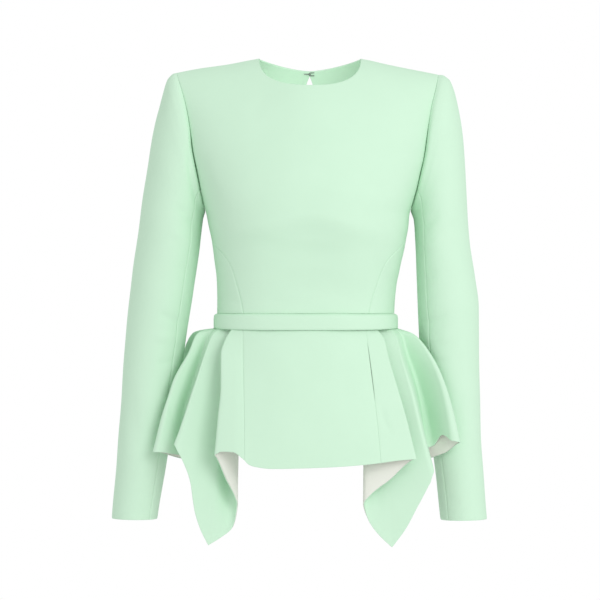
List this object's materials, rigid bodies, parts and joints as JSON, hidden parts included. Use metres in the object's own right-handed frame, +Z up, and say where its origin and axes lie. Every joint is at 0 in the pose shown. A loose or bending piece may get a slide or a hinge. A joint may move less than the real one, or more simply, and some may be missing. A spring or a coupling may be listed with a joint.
{
  "type": "long-sleeved peplum top",
  "caption": "Mint crepe top with a round neck, square shoulders, long sleeves, a narrow waistband and a peplum with pointed cascades.",
  "frame": {"origin": "middle of the neck opening, level with the points where the shoulder seams meet the neck edge", "axes": "+Z up from the hem to the shoulders, the front of the top faces -Y, +X towards the right of someone who looks at the front"},
  "size_m": [0.519, 0.2815, 0.6661],
  "materials": {
    "mint_crepe": "matte",
    "cream_lining": "matte",
    "steel": "dark"
  },
  "bodies": {
    "root": {"bodice_front": "mint_crepe", "side_front_l": "mint_crepe", "side_front_r": "mint_crepe", "back_l": "mint_crepe", "back_r": "mint_crepe", "top_sleeve_l": "mint_crepe", "top_sleeve_r": "mint_crepe", "under_sleeve_l": "mint_crepe", "under_sleeve_r": "mint_crepe", "waistband_front": "mint_crepe", "waistband_back_l": "mint_crepe", "waistband_back_r": "mint_crepe", "peplum_front": "mint_crepe", "peplum_side_l": "mint_crepe", "peplum_side_r": "mint_crepe", "peplum_back_l": "mint_crepe", "peplum_back_r": "mint_crepe", "cascade_lining_l": "cream_lining", "cascade_lining_r": "cream_lining", "hook": "steel", "eye": "steel"}
  },
  "joints": []
}
